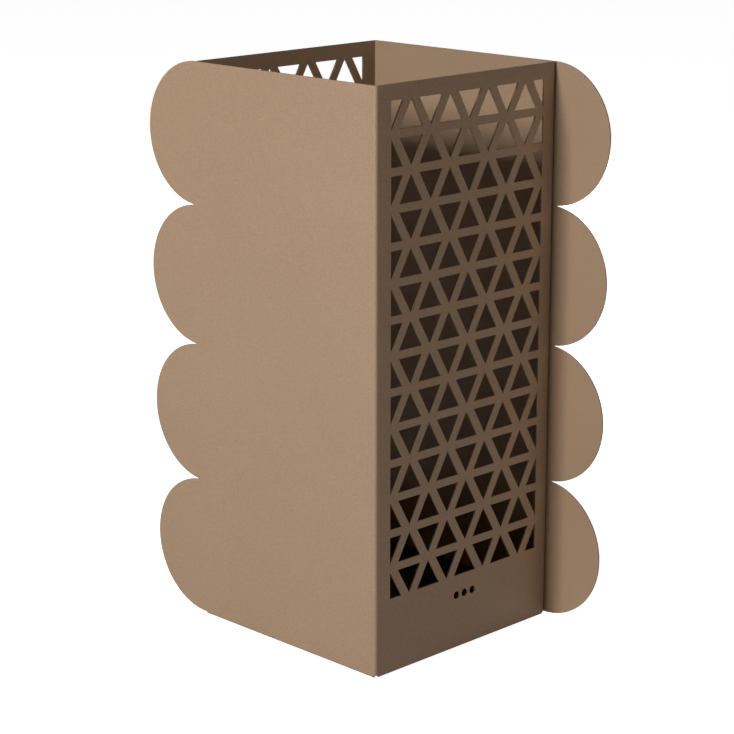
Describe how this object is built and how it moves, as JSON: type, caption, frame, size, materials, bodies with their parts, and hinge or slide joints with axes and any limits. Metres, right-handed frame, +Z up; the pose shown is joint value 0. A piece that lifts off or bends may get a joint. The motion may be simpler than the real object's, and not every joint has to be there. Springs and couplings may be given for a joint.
{
  "type": "umbrella stand",
  "caption": "Square umbrella stand of bent steel sheet: plain panels with scalloped wings, pierced panels with a lattice of triangles, and a lift-out drip tray.",
  "frame": {"origin": "on the floor, under the middle of the square tower", "axes": "+Z up; the plain panels lie along X at the front (-Y) and rear (+Y), the pierced panels along Y on the left (-X) and right (+X)"},
  "size_m": [0.3404, 0.219, 0.504],
  "materials": {
    "painted_sheet": "taupe powder coat, satin, fine grain",
    "tray_plastic": "moulded dark grey, satin",
    "foot_rubber": "moulded black rubber",
    "zinc_steel": "black zinc-plated steel"
  },
  "bodies": {
    "stand": {"front_shell": "painted_sheet", "rear_shell": "painted_sheet", "base_plate": "painted_sheet", "foot_front_left": "foot_rubber", "foot_front_right": "foot_rubber", "foot_rear_left": "foot_rubber", "foot_rear_right": "foot_rubber", "foot_screws": "zinc_steel", "foot_washers": "zinc_steel", "foot_nuts": "zinc_steel", "right_seam_studs": "zinc_steel", "right_seam_washers": "zinc_steel", "right_seam_nuts": "zinc_steel", "left_seam_studs": "zinc_steel", "left_seam_washers": "zinc_steel", "left_seam_nuts": "zinc_steel"},
    "tray": {"drip_tray": "tray_plastic"}
  },
  "joints": [
    {"name": "tray_lift", "type": "slide", "parent": "stand", "child": "tray", "axis": [0, 0, 1], "range_m": [0, 0.52]}
  ]
}
